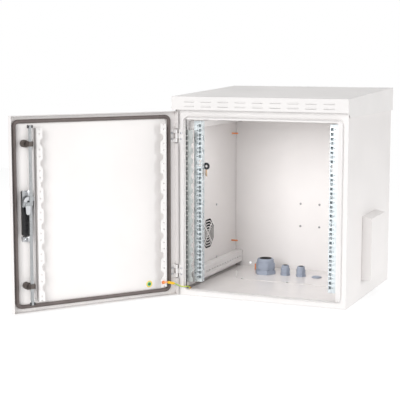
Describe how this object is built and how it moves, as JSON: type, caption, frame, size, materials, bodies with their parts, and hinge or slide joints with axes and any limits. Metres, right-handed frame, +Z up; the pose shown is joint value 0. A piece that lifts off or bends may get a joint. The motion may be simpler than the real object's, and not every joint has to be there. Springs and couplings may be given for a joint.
{
  "type": "outdoor wall cabinet",
  "caption": "Outdoor wall cabinet with a rack, sloped vented roof, side vents, cable glands and a hinged door with a rod lock.",
  "frame": {"origin": "middle of the base, on the plane it stands on", "axes": "+Z up, +Y to the wall behind, +X to the right seen from the front"},
  "size_m": [0.9879, 1.0444, 0.7],
  "materials": {
    "body_paint": "fine textured powder coat, semi-matt",
    "frame_paint": "powder coat, semi-matt",
    "roof_paint": "powder coat, semi-matt",
    "rail_zinc": "bright zinc plate, bluish",
    "zinc": "zinc plate",
    "dark_steel": "blackened steel",
    "gland_nylon": "moulded nylon, satin",
    "seal_rubber": "matt rubber",
    "gasket_rubber": "matt foam rubber",
    "copper": "copper flash, bright",
    "guide_plastic": "moulded plastic, matt",
    "black_plastic": "moulded plastic, satin",
    "key_metal": "dull brass",
    "label_film": "printed film in plain rings",
    "wire_sheath": "green and yellow sheath",
    "sleeve_yellow": "soft sleeve"
  },
  "bodies": {
    "cabinet": {"side_panel_left": "body_paint", "side_panel_right": "body_paint", "back_panel": "body_paint", "top_panel": "body_paint", "bottom_plate": "body_paint", "front_frame": "frame_paint", "roof_cover": "roof_paint", "gland_plate": "body_paint", "gland_plate_screws": "zinc", "vent_hood_left": "body_paint", "vent_hood_right": "body_paint", "vent_hood_screws": "zinc", "depth_bars_upper": "frame_paint", "depth_bars_lower": "frame_paint", "bar_bolts": "dark_steel", "rack_rail_left": "rail_zinc", "rack_rail_right": "rail_zinc", "rail_brackets": "frame_paint", "rail_bolts": "zinc", "large_gland_body": "gland_nylon", "large_gland_cap": "gland_nylon", "large_gland_seal": "seal_rubber", "small_gland_bodies": "gland_nylon", "small_gland_caps": "gland_nylon", "small_gland_seals": "seal_rubber", "gland_locknuts": "gland_nylon", "blanking_plug": "gland_nylon", "weld_studs": "copper", "frame_earth_nut": "zinc", "pan_screws": "zinc", "frame_hinge_leaves": "frame_paint", "hinge_pins": "dark_steel", "frame_side_strip": "zinc", "key_tie": "black_plastic", "frame_earth_lug": "copper", "earth_wire": "wire_sheath", "earth_sleeve": "sleeve_yellow"},
    "door": {"door_skin": "body_paint", "door_gasket": "gasket_rubber", "lock_channel": "frame_paint", "hinge_side_strip": "frame_paint", "lock_side_strip": "frame_paint", "rod_guides": "guide_plastic", "lock_housing": "black_plastic", "lock_bracket": "zinc", "handle_base": "black_plastic", "door_hinge_leaves": "frame_paint", "door_hinge_screws": "zinc", "earth_label": "label_film", "door_earth_lug": "copper"},
    "latch": {"lock_spindle": "black_plastic", "lock_cam": "zinc"},
    "handle": {"handle_lever": "black_plastic"},
    "lock_barrel": {"lock_cylinder": "zinc"},
    "upper_lock_rod": {"upper_rod": "zinc"},
    "lower_lock_rod": {"lower_rod": "zinc"},
    "upper_roller_pair": {"upper_rollers": "black_plastic"},
    "lower_roller_pair": {"lower_rollers": "black_plastic"},
    "spare_key": {"key_bow": "black_plastic", "key_blade": "key_metal"}
  },
  "joints": [
    {"name": "door_hinge", "type": "hinge", "parent": "cabinet", "child": "door", "pos_m": [-0.295, -0.285, 0.3], "axis": [0, 0, 1], "range_deg": [-4, 126], "deforming": ["earth_wire", "earth_sleeve"]},
    {"name": "latch_turn", "type": "hinge", "parent": "door", "child": "latch", "pos_m": [-0.60725, -0.73179, 0.362], "axis": [-0.809, 0.5878, 0], "range_deg": [0, 90]},
    {"name": "handle_tilt", "type": "hinge", "parent": "latch", "child": "handle", "pos_m": [-0.64678, -0.71049, 0.362], "axis": [0, 0, 1], "range_deg": [0, 60]},
    {"name": "lock_barrel_turn", "type": "hinge", "parent": "handle", "child": "lock_barrel", "pos_m": [-0.58606, -0.62606, 0.362], "axis": [-0.809, 0.5878, 0], "range_deg": [0, 90]},
    {"name": "upper_rod_slide", "type": "slide", "parent": "door", "child": "upper_lock_rod", "axis": [0, 0, 1], "range_m": [0, 0.015]},
    {"name": "lower_rod_slide", "type": "slide", "parent": "door", "child": "lower_lock_rod", "axis": [0, 0, -1], "range_m": [0, 0.015]},
    {"name": "upper_roller_spin", "type": "hinge", "parent": "upper_lock_rod", "child": "upper_roller_pair", "pos_m": [-0.59192, -0.73119, 0.597], "axis": [-0.5878, -0.809, 0], "continuous": true},
    {"name": "lower_roller_spin", "type": "hinge", "parent": "lower_lock_rod", "child": "lower_roller_pair", "pos_m": [-0.59576, -0.7284, 0.034], "axis": [-0.5878, -0.809, 0], "continuous": true},
    {"name": "key_swing", "type": "hinge", "parent": "cabinet", "child": "spare_key", "pos_m": [-0.219, -0.205, 0.447], "axis": [0, 1, 0], "range_deg": [-25, 25]}
  ],
  "couplings": [
    {"joint": "upper_rod_slide", "follows": "latch_turn", "m_per_rad": 0.0095493},
    {"joint": "lower_rod_slide", "follows": "latch_turn", "m_per_rad": 0.0095493}
  ]
}
